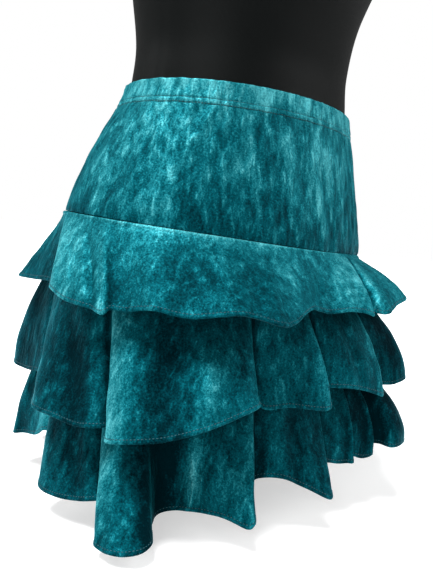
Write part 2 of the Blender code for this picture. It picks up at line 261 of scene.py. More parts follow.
THIRD_HEM = table(
    HemPoint,
    (-153, 0.182, 0.205, -151, 1.9), (-141, 0.156, 0.201, -141, 1.8),
    (-127.8, 0.18, 0.2015, -130, 1.9), (-124, 0.171, 0.1975, -127.2, 1.78),
    (-116.7, 0.164, 0.1929, -123, 1.6), (-110.9, 0.162, 0.1833, -121, 1.4),
    (-105, 0.149, 0.186, -117, 1.1), (-95, 0.189, 0.2101, -111),
    (-89.2, 0.192, 0.2111, -106.9, 0.94), (-85, 0.193, 0.2096, -104, 0.9),
    (-79.7, 0.194, 0.2057, -96.5, 0.78), (-76, 0.189, 0.2041, -91, 0.7),
    (-73.6, 0.1765, 0.206, -87.2, 0.65), (-71.9, 0.178, 0.209, -85.8, 0.65),
    (-72.2, 0.214, 0.2224, -84, 0.65), (-69.7, 0.222, 0.2231, -82.1, 0.67),
    (-66.3, 0.2255, 0.2221, -80, 0.7), (-63, 0.222, 0.2205, -77, 0.73),
    (-61.6, 0.213, 0.2197, -74.5, 0.75), (-61.5, 0.203, 0.2179, -73.2, 0.77),
    (-62.7, 0.19, 0.2171, -71.5, 0.8), (-63.8, 0.178, 0.2162, -68.5, 0.91),
    (-63, 0.168, 0.2138, -66), (-59.5, 0.165, 0.2111, -62.2, 1.09),
    (-54.8, 0.168, 0.2089, -57, 1.2), (-49.7, 0.172, 0.2074, -49, 1.15),
    (-46, 0.178, 0.2079, -45.5, 1.1), (-41, 0.19, 0.2112, -40.5),
    (-40.3, 0.1915, 0.209, -39), (-39.2, 0.168, 0.198, -37.8),
    (-37.4, 0.152, 0.189, -36.2), (-34.7, 0.151, 0.187, -34),
    (-29, 0.16, 0.1851, -28, 1.1), (-21.3, 0.167, 0.1936, -17, 1.05),
    (-14.1, 0.173, 0.2029, -8), (-13, 0.151, 0.181, -5.3, 1.3),
    (-5.4, 0.157, 0.1828, -2, 1.6), (-1.2, 0.162, 0.183, 5, 1.9),
    (-1.3, 0.166, 0.1835, 9, 2.1), (1, 0.154, 0.178, 11, 2.1),
    (5, 0.162, 0.1827, 13, 2.2), (7.5, 0.167, 0.1832, 15.2, 2.2),
    (8.4, 0.173, 0.1797, 17, 2.2), (9.5, 0.161, 0.176, 18.7, 2.2),
    (14.9, 0.172, 0.1741, 20.5, 2.2), (14, 0.183, 0.1755, 23, 2.16),
    (19, 0.193, 0.1735, 27, 2.1), (31, 0.185, 0.179, 34.1, 1.9),
    (42, 0.154, 0.186, 42, 1.9), (53, 0.19, 0.195, 52.8, 1.9),
    (63, 0.154, 0.2, 63, 1.9), (76, 0.203, 0.208, 76.6, 1.9),
    (89, 0.162, 0.206, 89, 1.9), (102, 0.2, 0.21, 101.4, 1.9),
    (116, 0.156, 0.206, 115, 1.9), (130, 0.188, 0.206, 128.2, 1.9),
    (143, 0.142, 0.202, 143, 1.9), (156, 0.178, 0.205, 155.5, 1.9),
    (169, 0.136, 0.201, 169, 1.9), (182, 0.176, 0.205, 182.3, 1.9),
    (195, 0.14, 0.201, 195, 1.9),
)

# Soft creases of the fitted yoke, drawn down by the weight of the flounces.
YOKE_CREASES = table(
    Crease,
    (-122, -118, 0, 1.05, 0.0017, 0.05), (-96, -104, 0.25, 1.1, 0.0016, 0.0075),
    (-84, -90, 0.35, 1.1, -0.0012, 0.006), (-70, -74, 0.55, 1.1, 0.001, 0.007),
    (-30, -16, 0.08, 0.85, -0.0012, 0.006), (-20, -8, 0.15, 1, 0.0013, 0.0055),
    (-12, -3, 0.3, 0.95, -0.001, 0.0045), (4, 7, 0.1, 0.9, 0.0012, 0.005),
    (12, 15, 0.15, 1.05, -0.0011, 0.0045), (20, 24, 0.05, 0.8, 0.001, 0.005),
    (38, 46, 0.2, 1, -0.0012, 0.0065), (58, 64, 0.3, 1.1, 0.0014, 0.007),
    (84, 92, 0.25, 1.05, -0.0012, 0.006), (104, 112, 0.4, 1.1, 0.0014, 0.0075),
    (133, 138, 0.15, 0.9, -0.001, 0.006), (158, 155, 0.3, 1.05, 0.0013, 0.007),
    (184, 188, 0.1, 0.8, -0.0011, 0.0055), (212, 206, 0.35, 1.1, 0.0013, 0.007),
    (236, 241, 0.2, 0.95, -0.0012, 0.006),
)
FIRST_CREASES = table(
    Crease,
    (-93.5, -93.5, 0.1, 1.2, -0.0028, 0.006), (-86.5, -86, 0.02, 1.1, 0.0032, 0.0065),
    (-71, -69, 0.2, 1.2, 0.0012, 0.012), (-47, -45.5, 0.3, 1.15, -0.0018, 0.006),
    (-40.5, -39.5, 0.2, 1.2, 0.0022, 0.006), (-13, -13, 0.1, 1.2, -0.002, 0.006),
    (5, 5, 0.2, 1.2, -0.0018, 0.005), (58, 60, 0.2, 1.2, 0.0015, 0.006),
    (100, 98, 0.2, 1.2, -0.0015, 0.0055), (143, 146, 0.15, 1.2, 0.0016, 0.006),
    (171, 170, 0.25, 1.2, -0.0013, 0.005), (196, 198, 0.1, 1.1, 0.0014, 0.0055),
    (230, 228, 0.2, 1.2, -0.0015, 0.006),
)
SECOND_CREASES = table(
    Crease,
    (-99, -99, 0.2, 1.3, -0.0055, 0.017), (-76, -77, 0.2, 1.2, 0.002, 0.008),
    (-66, -68, 0.15, 1.3, -0.007, 0.013), (-54, -55, 0.25, 1.2, 0.0025, 0.012),
    (-33, -34, 0.2, 1.3, -0.0035, 0.012), (-6, -6, 0.2, 1.2, -0.003, 0.01),
    (27, 26, 0.3, 1.1, -0.0012, 0.005), (53, 55, 0.3, 1.2, 0.0016, 0.006),
    (81, 80, 0.25, 1.2, -0.0014, 0.006), (120, 122, 0.3, 1.2, 0.0016, 0.0065),
    (148, 146, 0.25, 1.1, -0.0013, 0.0055), (174, 175, 0.3, 1.2, 0.0014, 0.006),
    (213, 214, 0.2, 1.2, -0.0014, 0.006),
)
THIRD_CREASES = table(
    Crease,
    (-100, -99, 0.3, 1.3, -0.0045, 0.015), (-62, -62, 0.3, 1.2, -0.003, 0.012),
    (-50, -48.5, 0.3, 1.2, 0.004, 0.01), (-22, -22, 0.3, 1.3, -0.0035, 0.013),
    (36, 36, 0.35, 1.2, 0.0014, 0.006), (69, 70, 0.35, 1.2, -0.0014, 0.006),
    (96, 95, 0.4, 1.2, 0.0014, 0.006), (123, 125, 0.35, 1.2, -0.0014, 0.006),
    (162, 163, 0.4, 1.2, 0.0014, 0.006), (201, 202, 0.35, 1.2, -0.0014, 0.006),
)


class Slot(Enum):
    """The record's material slots."""

    VELVET = "velvet"
    UNDER_CLOTH = "under_cloth"
    KNIT = "knit"


class Hold(Enum):
    """How a sheet of cloth is held."""

    GATHERED = "gathered"
    HUNG = "hung"
    STRETCHED = "stretched"


# ---------------------------------------------------------------- surfaces


def joined(
    part: Array,
    ends: tuple[Array, Array],
    slopes: tuple[Array, Array],
) -> Array:
    """A smooth curve between two ends, with a given slope at each.

    Args:
        part: Share of the way from one end to the other.
        ends: The values at the ends.
        slopes: The slopes at the ends.

    Returns:
        The curve's values.
    """
    return (
        ends[0] * (1 - part) ** 2 * (1 + 2 * part)
        + ends[1] * part**2 * (3 - 2 * part)
        + slopes[0] * part * (1 - part) ** 2
        - slopes[1] * part**2 * (1 - part)
    )


class OvalBody:
    """A smooth body through a stack of level ovals."""

    def __init__(self, sections: Sequence[Section]) -> None:
        """Keeps the sections as a table.

        Args:
            sections: The ovals, from the lowest to the highest.
        """
        self.table = np.array([astuple(section) for section in sections])

    def sizes(self, heights: Array) -> Array:
        """Half width, half depth and forward shift at each height.

        Args:
            heights: Heights above the floor.

        Returns:
            The three sizes along a last axis.
        """
        table = self.table
        last = len(table) - 1
        height = np.clip(heights, table[0, 0], table[last, 0])
        low = np.searchsorted(table[:, 0], height, side="left") - 1
        low = np.clip(low, 0, last - 1)
        start = table[low]
        end = table[low + 1]
        before = table[np.maximum(low - 1, 0)]
        after = table[np.minimum(low + 2, last)]
        span = (end - start)[..., :1]
        part = (height[..., None] - start[..., :1]) / span
        slope_in = (end - before)[..., 1:] / (end - before)[..., :1]
        slope_out = (after - start)[..., 1:] / (after - start)[..., :1]
        ends = (start[..., 1:], end[..., 1:])
        return joined(part, ends, (slope_in * span, slope_out * span))

    def points(
        self, angles: Array, heights: Array, outward: float = 0.0
    ) -> Array:
        """Points of the body's surface, moved outwards.

        Args:
            angles: Angles round the form, in degrees.
            heights: Heights above the floor, of the same shape.
            outward: How far outside the body the points lie.

        Returns:
            The points along a last axis.
        """
        turn = np.radians(angles)
        sizes = self.sizes(heights)
        wide = sizes[..., 0] + outward
        deep = sizes[..., 1] + outward
        reach = 1 / np.hypot(np.sin(turn) / wide, np.cos(turn) / deep)
        across = reach * np.sin(turn)
        along = -reach * np.cos(turn) - sizes[..., 2]
        return np.stack([across, along, heights + 0 * reach], axis=-1)


CLOTH_BODY = OvalBody(CLOTH_SECTIONS)


def seam_height(drop: float, angles: Array) -> Array:
    """Height of a seam that lies a drop below the yoke seam, with its dip.

    Args:
        drop: Distance below the yoke seam.
        angles: Angles round the form, in degrees.

    Returns:
        The seam's height at each angle.
    """
    level = np.full(np.shape(angles), YOKE_SEAM_HEIGHT - drop)
    points = CLOTH_BODY.points(angles, level)
    return level + FRONT_DIP * points[..., 1] - LEFT_DIP * points[..., 0]


def grid_normals(grid: Array) -> Array:
    """Outward normals of a grid that closes round the form.

    Args:
        grid: Points in rows from top to bottom and columns round the form.

    Returns:
        A unit vector for each point.
    """
    around = np.roll(grid, -1, axis=1) - np.roll(grid, 1, axis=1)
    upwards = np.empty_like(grid)
    upwards[1:-1] = grid[:-2] - grid[2:]
    upwards[0] = grid[0] - grid[1]
    upwards[-1] = grid[-2] - grid[-1]
    normal = np.cross(around, upwards)
    return normal / np.linalg.norm(normal, axis=-1, keepdims=True)


def walked(grid: Array) -> Array:
    """How far each point lies along its column from the top, in metres.

    Args:
        grid: Points in rows from top to bottom and columns round the form.

    Returns:
        The distance of each point.
    """
    steps = np.linalg.norm(np.diff(grid, axis=0), axis=-1)
    first = np.zeros((1, grid.shape[1]))
    return np.concatenate([first, np.cumsum(steps, axis=0)])


@dataclass(frozen=True)
class RowPlan:
    """How rows are spread: close at the two edges and even between them."""

    top_steps: tuple[float, ...]
    middle_rows: int
    hem_steps: tuple[float, ...]

    def distances(self, lengths: Array) -> Array:
        """Distances from the top edge of every row, for each column.

        Args:
            lengths: The whole length of each column.

        Returns:
            One row of distances for each row of the piece.
        """
        top = np.array(self.top_steps)[:, None] + 0 * lengths
        low = lengths - np.array(self.hem_steps)[:, None]
        share = np.arange(1, self.middle_rows)[:, None] / self.middle_rows
        middle = top[-1] * (1 - share) + low[0] * share
        return np.concatenate([top, middle, low])


def spread_rows(dense: Array, plan: RowPlan) -> Array:
    """A grid whose rows lie where a plan says, along each column's own length.

    Args:
        dense: A finely sampled grid.
        plan: Where the rows go.

    Returns:
        The new grid.
    """
    length = walked(dense)
    wanted = plan.distances(length[-1])
    grid = np.empty((*wanted.shape, 3))
    for column in range(dense.shape[1]):
        for axis in range(3):
            grid[:, column, axis] = np.interp(
                wanted[:, column], length[:, column], dense[:, column, axis]
            )
    return grid


def pile_and_light_field(
    angles: Array, shares: Array, patches: Sequence[PileAndLightPatch]
) -> Array:
    """How much lighter each point of a grid is: swept pile, with painted highlight and
    painted shade.

    Args:
        angles: The angle of each column, in degrees.
        shares: How far down the piece each point lies, from 0 to 1.
        patches: The patches of swept pile and of painted light and shade.

    Returns:
        The lift of each point.
    """
    lift = np.zeros(shares.shape)
    for patch in patches:
        aside = ((angles - patch.angle + 180) % 360 - 180) / patch.spread
        along = (shares - patch.share) / patch.reach
        lift += patch.lift * np.exp(-(aside**2) - along**2)
    return lift


@dataclass(frozen=True)
class PaintedFoldLight:
    """Painted light and shade from the shape of a flounce: highlight on ridges and on
    flanks facing one way round, shade in troughs and sunken creases.
    """

    near: int = 4
    least_gap: float = 0.002
    full_bend: float = 90.0
    facing_share: float = 0.6
    bend_share: float = 0.8
    full_press: float = 0.0080
    darkest: float = -1.1
    lightest: float = 1.0
    spread: int = 2

    def nap(self, grid: Array, pressed: Array) -> Array:
        """Painted light and shade: lighter on ridges and on flanks facing one way
        round, darker in troughs and on flanks facing the other way.

        Args:
            grid: The cloth's middle surface.
            pressed: How far its creases move each point outwards.

        Returns:
            A number about nought for each point.
        """
        normals = grid_normals(grid)
        reach = np.linalg.norm(grid[..., :2], axis=-1)
        x, y = grid[..., 0], grid[..., 1]
        facing = (y * normals[..., 0] - x * normals[..., 1]) / reach
        left = np.roll(grid, -self.near, axis=1)
        right = np.roll(grid, self.near, axis=1)
        apart = np.maximum(np.linalg.norm(left - grid, axis=-1), self.least_gap)
        ridge = -np.sum((left + right - 2 * grid) * normals, axis=-1) / apart**2
        bend = np.clip(ridge / self.full_bend, -1.0, 1.0)
        nap = self.facing_share * facing + self.bend_share * bend
        nap = np.clip(nap + pressed / self.full_press, self.darkest, self.lightest)
        return eased(nap.swapaxes(0, 1), self.spread).swapaxes(0, 1)


def closed_curve(knots: Array) -> tuple[Array, Array]:
    """A smooth closed curve through points, in many short steps.

    Args:
        knots: The points.

    Returns:
        The curve's points, and the number of the one at each knot.
    """
    following = np.roll(knots, -1, axis=0)
    before = np.roll(knots, 1, axis=0)
    gap = np.linalg.norm(following - knots, axis=-1, keepdims=True) ** 0.5
    gap_before = np.roll(gap, 1, axis=0)
    entering = (knots - before) / gap_before
    leaving = (following - knots) / gap
    slope = (entering * gap + leaving * gap_before) / (gap + gap_before)
    slope_after = np.roll(slope, -1, axis=0)
    part = (np.arange(CURVE_STEPS) / CURVE_STEPS)[None, :, None]
    slopes = ((slope * gap)[:, None], (slope_after * gap)[:, None])
    curve = joined(part, (knots[:, None], following[:, None]), slopes)
    return curve.reshape(-1, 3), np.arange(len(knots)) * CURVE_STEPS


def eased(values: Array, spread: int) -> Array:
    """Values round a closed line, each the soft average of its neighbours.

    Args:
        values: The values along the first axis.
        spread: How many places away a neighbour still counts for much.

    Returns:
        The averages.
    """
    offsets = np.arange(-3 * spread, 3 * spread + 1)
    weights = np.exp(-((offsets / spread) ** 2))
    total = sum(w * np.roll(values, -n, axis=0) for n, w in zip(offsets, weights))
    return total / weights.sum()


def crease_field(
    angles: Array, shares: Array, reach: float, creases: Sequence[Crease]
) -> Array:
    """How far creases move each point of a grid outwards.

    Args:
        angles: The angle of each column, in degrees.
        shares: How far down the piece each point lies, from 0 to 1.
        reach: A usual distance from the form's axis, which turns angle to length.
        creases: The creases.

    Returns:
        The movement of each point.
    """
    moved = np.zeros(shares.shape)
    for crease in creases:
        part = np.clip((shares - crease.start) / (crease.end - crease.start), 0, 1)
        centre = crease.start_angle + (crease.end_angle - crease.start_angle) * part
        aside = (angles - centre + 180) % 360 - 180
        across = np.radians(aside) * reach / crease.width
        along = np.sin(np.pi * part) ** 1.5
        moved += crease.depth * along * np.exp(-(across**2))
    return moved


@dataclass(frozen=True)
class Ripples:
    """Small uneven waves of crushed cloth, the same each time for one seed."""

    seed: int
    size: float
    waves: int = 26
    least_around: int = 22
    most_around: int = 90
    most_down: float = 5.0

    def field(self, around: Array, down: Array) -> Array:
        """How far the waves move each point outwards.

        Args:
            around: Share of the way round each point lies.
            down: Share of the way down each point lies.

        Returns:
            The movement of each point.
        """
        draw = np.random.default_rng(self.seed)
        counts = draw.integers(self.least_around, self.most_around, self.waves)
        slants = draw.uniform(-self.most_down, self.most_down, self.waves)
        starts = draw.uniform(0, 2 * np.pi, self.waves)
        total = np.zeros(np.broadcast(around, down).shape)
        for count, slant, start in zip(counts, slants, starts):
            phase = 2 * np.pi * (count * around + slant * down) + start
            total += np.sin(phase) * self.least_around / count
        return self.size * total / math.sqrt(self.waves) * 2


# ------------------------------------------------------------------ meshes


def make_object(name: str, data: bpy.types.ID) -> bpy.types.Object:
    """An object at the origin.

    Args:
        name: The object's name.
        data: Its mesh, light or camera.

    Returns:
        The object.
    """
    made = bpy.data.objects.new(name, data)
    bpy.context.scene.collection.objects.link(made)
    return made


def mesh_from(
    name: str, points: Array, faces: Array, corners: Array
) -> bpy.types.Mesh:
    """A smooth mesh with a map of its corners.

    Args:
        name: The mesh's name.
        points: Its points.
        faces: Four point numbers for each face.
        corners: The map's two lengths for each corner of each face.

    Returns:
        The mesh.
    """
    mesh = bpy.data.meshes.new(name)
    mesh.from_pydata(points.tolist(), [], faces.tolist())
    mesh.polygons.foreach_set("use_smooth", np.ones(len(faces), dtype=bool))
    layer = mesh.uv_layers.new(name=MAP_NAME)
    layer.data.foreach_set("uv", corners.reshape(-1).astype(np.float32))
    mesh.update()
    return mesh


def ring_faces(rows: int, columns: int) -> Array:
    """Faces between the rings of a grid whose points go row by row.

    Args:
        rows: Number of rings.
        columns: Number of points in each ring.

    Returns:
        Four point numbers for each face.
    """
    row = np.arange(rows - 1)[:, None]
    column = np.arange(columns)[None, :]
    here = row * columns + column
    beside = row * columns + (column + 1) % columns
    faces = np.stack([here, here + columns, beside + columns, beside], axis=-1)
    return faces.reshape(-1, 4)


def shell_object(
    name: str,
    middle: Array,
    wall: Array,
    outside: Material,
    inside: Material,
    nap: Array | None = None,
) -> bpy.types.Object:
    """A closed thin wall of cloth on both sides of a grid.

    Args:
        name: The piece's name.
        middle: The cloth's middle surface, rows from top to bottom.
        wall: Thickness of each row.
        outside: Finish of the face side and the edges.
        inside: Finish of the back of the cloth.
        nap: Painted light and shade, with the swept pile, at each point of the grid.

    Returns:
        The piece.
    """
    rows, columns = middle.shape[:2]
    normals = grid_normals(middle)
    half = wall[:, None, None] / 2
    outer = middle + normals * half
    inner = middle - normals * half
    points = np.concatenate([outer.reshape(-1, 3), inner.reshape(-1, 3)])
    outer_faces = ring_faces(rows, columns)
    inner_faces = outer_faces[:, ::-1] + rows * columns
    start = np.arange(columns)
    end = (start + 1) % columns
    back = rows * columns
    low = (rows - 1) * columns
    top_cap = np.stack([start, end, back + end, back + start], axis=-1)
    low_cap = low + top_cap[:, [0, 3, 2, 1]]
    faces = np.concatenate([outer_faces, inner_faces, top_cap, low_cap])
    length = walked(middle)
    up = length[-1] - length
    steps = np.linalg.norm(np.roll(middle[-1], -1, axis=0) - middle[-1], axis=-1)
    around = np.concatenate([[0.0], np.cumsum(steps)])
    closed = np.concatenate([up, up[:, :1]], axis=1)
    at = np.stack(np.broadcast_arrays(around, closed), axis=-1)
    above, below = at[:-1], at[1:]
    sides = (above[:, :-1], below[:, :-1], below[:, 1:], above[:, 1:])
    outer_map = np.stack(sides, axis=2).reshape(-1, 4, 2)
    here, beside = at[:, :-1], at[:, 1:]
    top_map = np.stack([here[0], beside[0], beside[0], here[0]], axis=1)
    low_map = np.stack([here[-1], here[-1], beside[-1], beside[-1]], axis=1)
    corners = np.concatenate([outer_map, outer_map[:, ::-1], top_map, low_map])
    mesh = mesh_from(name, points, faces, corners)
    mesh.materials.append(outside)
    mesh.materials.append(inside)
    finishes = np.zeros(len(faces), dtype=np.int32)
    finishes[len(outer_faces) : 2 * len(outer_faces)] = 1
    mesh.polygons.foreach_set("material_index", finishes)
    if nap is not None:
        layer = mesh.attributes.new(NAP_AND_LIGHT_NAME, "FLOAT", "POINT")
        layer.data.foreach_set("value", np.tile(nap.reshape(-1), 2).astype(np.float32))
    return make_object(name, mesh)


# ---------------------------------------------------------------- finishes


@dataclass(frozen=True)
class Tone:
    """A colour in linear light."""

    red: float
    green: float
    blue: float

    def rgba(self) -> tuple[float, float, float, float]:
        """The colour with full opacity."""
        return (self.red, self.green, self.blue, 1.0)


def fill_inputs(node: bpy.types.Node, inputs: Mapping[str | int, object]) -> None:
    """Sets a node's inputs to values or links them to sockets.

    Args:
        node: The node.
        inputs: A value or a socket for each input's name or number.
    """
    for name, value in inputs.items():
        if isinstance(value, Socket):
            node.id_data.links.new(value, node.inputs[name])
        else:
            node.inputs[name].default_value = value


def add_node(
    tree: bpy.types.NodeTree,
    kind: str,
    inputs: Mapping[str | int, object],
    output: str | int = 0,
    **settings: object,
) -> Socket:
    """Adds a node to a tree.

    Args:
        tree: The tree.
        kind: The node's kind.
        inputs: A value or a socket for each input's name or number.
        output: The name or number of the output that is wanted.
        settings: The node's own settings.

    Returns:
        The output.
    """
    node = tree.nodes.new(kind)
    for name, value in settings.items():
        setattr(node, name, value)
    fill_inputs(node, inputs)
    return node.outputs[output]


class FinishDesk:
    """Builds the node tree of one finish."""

    def __init__(self, name: str) -> None:
        """Starts a material with a bare shader.

        Args:
            name: The material's name.
        """
        self.material = bpy.data.materials.new(name)
        self.material.use_nodes = True
        self.tree = self.material.node_tree
        self.places = add_node(self.tree, "ShaderNodeTexCoord", {}, "Object")

    def finished(self, inputs: Mapping[str | int, object]) -> Material:
        """Fills in the shader.

        Args:
            inputs: A value or a socket for each of its inputs.

        Returns:
            The finished material.
        """
        fill_inputs(self.tree.nodes["Principled BSDF"], inputs)
        return self.material

    def cloth_map(self) -> Socket:
        """The piece's own map of lengths along the cloth."""
        return add_node(self.tree, "ShaderNodeUVMap", {}, uv_map=MAP_NAME)

    def stretched(self, scale: Sequence[float], turn: Sequence[float]) -> Socket:
        """The piece's places, scaled and then turned by angles in radians."""
        inputs = {"Vector": self.places, "Scale": scale, "Rotation": turn}
        return add_node(self.tree, "ShaderNodeMapping", inputs)

    def noise(
        self, scale: float, detail: float, warp: float, places: Socket | None = None
    ) -> Socket:
        """Soft uneven patches from 0 to 1.

        Args:
            scale: Patches for each metre.
            detail: Finer layers on top.
            warp: How far the patches are drawn out of shape.
            places: Where the pattern lies, if not at the piece's own places.

        Returns:
            The pattern.
        """
        inputs = {"Scale": scale, "Detail": detail, "Distortion": warp}
        inputs["Vector"] = places or self.places
        return add_node(self.tree, "ShaderNodeTexNoise", inputs)

    def maths(self, kind: str, *values: object) -> Socket:
        """The result of one operation on numbers or sockets."""
        inputs = dict(enumerate(values))
        return add_node(self.tree, "ShaderNodeMath", inputs, operation=kind)

    def weighted(self, patterns: Sequence[Socket], weights: Sequence[float]) -> Socket:
        """The weighted sum of several patterns.

        Args:
            patterns: The patterns.
            weights: Each pattern's weight.

        Returns:
            The sum.
        """
        total = self.maths("MULTIPLY", patterns[0], weights[0])
        for pattern, weight in zip(patterns[1:], weights[1:]):
            total = self.maths("MULTIPLY_ADD", pattern, weight, total)
        return total

    def span(self, pattern: Socket, source: Pair, target: Pair) -> Socket:
        """A pattern smoothly stretched from one range to another.

        Args:
            pattern: The pattern.
            source: The range that it is read in.
            target: The range that it is given.

        Returns:
            The changed pattern.
        """
        names = ("Value", "From Min", "From Max", "To Min", "To Max")
        inputs = dict(zip(names, (pattern, *source, *target)))
        kind = "ShaderNodeMapRange"
        return add_node(self.tree, kind, inputs, interpolation_type="SMOOTHSTEP")

    def ramp(
        self, pattern: Socket, places: Sequence[float], tones: Sequence[Tone]
    ) -> Socket:
        """Colours along a pattern.

        Args:
            pattern: The pattern.
            places: The place of each colour.
            tones: The colours.

        Returns:
            The colour.
        """
        colour = add_node(self.tree, "ShaderNodeValToRGB", {"Fac": pattern})
        elements = colour.node.color_ramp.elements
        while len(elements) < len(tones):
            elements.new(0.5)
        for element, place, tone in zip(elements, places, tones):
            element.position = place
            element.color = tone.rgba()
        return colour

    def shaded(self, colour: Socket, share: Socket, tone: Tone) -> Socket:
        """A colour that gives way to another tone by a share."""
        inputs = {0: share, 6: colour, 7: tone.rgba()}
        return add_node(self.tree, "ShaderNodeMix", inputs, 2, data_type="RGBA")

    def bump(
        self, pattern: Socket, height: float, strength: float, **under: Socket
    ) -> Socket:
        """Relief with a height in metres, above other relief given as Normal."""
        inputs = {"Height": pattern, "Distance": height, "Strength": strength}
        return add_node(self.tree, "ShaderNodeBump", inputs | under)


@dataclass(frozen=True)
class SewnLine:
    """A line where the pile is pressed down, at a height above the lower edge."""

    height: float
    width: float
    share: float


@dataclass(frozen=True)
class PaintedLightLift:
    """Painted light and shade from a piece's lower edge up to a height: lighter on the
    casing and towards the top of the yoke and the top flounce, darker on the lower
    flounces, most towards their top under the piece above.
    """

    low: float
    high: float
    height: float


@dataclass(frozen=True)
class VelvetFinish:
    """The face of crushed velvet, with darker lines where it is sewn, and with painted
    highlight, painted shade and painted glints in its colour.
    """

    name: str
    lift: PaintedLightLift
    crush: float
    sewn_lines: tuple[SewnLine, ...] = ()
    nap_and_light_share: float = 0.095
    deep: Tone = Tone(0.0001, 0.0060, 0.0085)
    low: Tone = Tone(0.0003, 0.0200, 0.0270)
    middle: Tone = Tone(0.0008, 0.0480, 0.0620)
    high: Tone = Tone(0.0070, 0.1080, 0.1300)
    bright: Tone = Tone(0.0550, 0.2700, 0.3000)
    stops: tuple[float, ...] = (0.38, 0.45, 0.52, 0.59, 0.69)
    # Painted glints: small bright flecks where the streaks run high, and how much
    # lighter they are.
    painted_glint: Pair = (0.57, 0.70)
    painted_glint_lift: float = 0.028

    def build(self) -> Material:
        """Makes the material.

        Returns:
            The material.
        """
        desk = FinishDesk(self.name)
        slanted = desk.stretched((1.0, 1.0, 0.42), (0.0, 0.25, 0.0))
        upright = desk.stretched((1.0, 1.0, 0.25), (0.0, -0.10, 0.0))
        drift = desk.noise(14.0, 2.0, 0.4)
        patch = desk.noise(90.0, 4.0, 0.5, slanted)
        streak = desk.noise(230.0, 3.0, 0.3, upright)
        grain = desk.noise(640.0, 2.0, 0.0)
        pile = desk.noise(1300.0, 1.0, 0.0)
        weights = (0.12, self.crush, 0.8 * self.crush, 0.19, 0.13)
        rest = (1 - sum(weights)) / 2
        lay_and_light = desk.weighted((drift, patch, streak, grain, pile), weights)
        up = add_node(desk.tree, "ShaderNodeSeparateXYZ", {0: desk.cloth_map()}, "Y")
        # Painted light and shade, lighter or darker from the lower edge upwards.
        ends = (rest + self.lift.low, rest + self.lift.high)
        lay_and_light = desk.maths("ADD", lay_and_light, desk.span(up, (0.0, self.lift.height), ends))
        # Painted glints along the high streaks.
        painted_glint = desk.span(streak, self.painted_glint, (0.0, self.painted_glint_lift))
        lay_and_light = desk.maths("ADD", lay_and_light, painted_glint)
        # Painted highlight and painted shade of the folds, creases and patches, from
        # the mesh layer.
        nap = add_node(
            desk.tree, "ShaderNodeAttribute", {}, "Fac", attribute_name=NAP_AND_LIGHT_NAME
        )
        lay_and_light = desk.maths("MULTIPLY_ADD", nap, self.nap_and_light_share, lay_and_light)
        tones = (self.deep, self.low, self.middle, self.high, self.bright)
        colour = desk.ramp(lay_and_light, self.stops, tones)
        for line in self.sewn_lines:
            off = desk.maths("ABSOLUTE", desk.maths("SUBTRACT", up, line.height))
            pressed = desk.span(off, (0.25 * line.width, line.width), (line.share, 0.0))
            colour = desk.shaded(colour, pressed, self.low)
        relief = desk.weighted((patch, streak), (0.6, 0.4))
        crushed = desk.bump(relief, 0.0040, 0.60)
        ends = (self.stops[0], self.stops[-1])
        return desk.finished(
            {
                "Base Color": colour,
                "Metallic": 0.40,
                "Roughness": desk.span(lay_and_light, ends, (0.62, 0.46)),
                "Specular IOR Level": 0.03,
                "Specular Tint": (0.02, 0.55, 0.66, 1.0),
                "Sheen Weight": 0.20,
                "Sheen Roughness": 0.30,
                "Sheen Tint": (0.01, 0.50, 0.60, 1.0),
                "Normal": desk.bump(grain, 0.0008, 0.50, Normal=crushed),
            }
        )


@dataclass(frozen=True)
class KnitFinish:
    """A plain knit, with its wales, fine speckles and slow soft clouds."""

    name: str
    dark: Tone = Tone(0.001, 0.016, 0.021)
    light: Tone = Tone(0.003, 0.040, 0.050)
    wales: Pair = (260.0, 1.5)
    speckle: float = 520.0
    cloud: Pair = (24.0, 2.0)
    weights: tuple[float, float, float] = (0.3, 0.4, 0.3)
    stops: Pair = (0.30, 0.70)
    roughness: Pair = (0.92, 0.78)
    specular: float = 0.18

    def build(self) -> Material:
        """Makes the material.

        Returns:
            The material.
        """
        desk = FinishDesk(self.name)
        scale, warp = self.wales
        inputs = {"Vector": desk.cloth_map(), "Scale": scale, "Distortion": warp}
        kind = "ShaderNodeTexWave"
        wales = add_node(desk.tree, kind, inputs, "Fac", bands_direction="X")
        speckle = desk.noise(self.speckle, 3.0, 0.2)
        cloud = desk.noise(*self.cloud, 0.3)
        mixed = desk.weighted((wales, speckle, cloud), self.weights)
        return desk.finished(
            {
                "Base Color": desk.ramp(mixed, self.stops, (self.dark, self.light)),
                "Roughness": desk.span(speckle, (0.3, 0.7), self.roughness),
                "Specular IOR Level": self.specular,
                "Normal": desk.bump(mixed, 0.0004, 0.5),
            }
        )


FORM_KNIT = KnitFinish(
    name="black_knit",
    dark=Tone(0.0005, 0.0009, 0.0009),
    light=Tone(0.0016, 0.0023, 0.0023),
    wales=(300.0, 0.8),
    speckle=900.0,
    cloud=(16.0, 3.0),
    weights=(0.25, 0.45, 0.30),
    stops=(0.28, 0.72),
    roughness=(0.50, 0.42),
    specular=0.06,
)


def thread_finish() -> Material:
    """Makes spun sewing thread, dyed darker than the velvet.

    Returns:
        The material.
    """
    desk = FinishDesk("sewing_thread")
    twist = desk.noise(1600.0, 2.0, 0.6)
    tones = (Tone(0.0004, 0.016, 0.021), Tone(0.0015, 0.045, 0.056))
    return desk.finished(
        {
            "Base Color": desk.ramp(twist, (0.35, 0.65), tones),
            "Roughness": desk.span(twist, (0.3, 0.7), (0.65, 0.45)),
            "Normal": desk.bump(twist, 0.0001, 0.4),
        }
    )


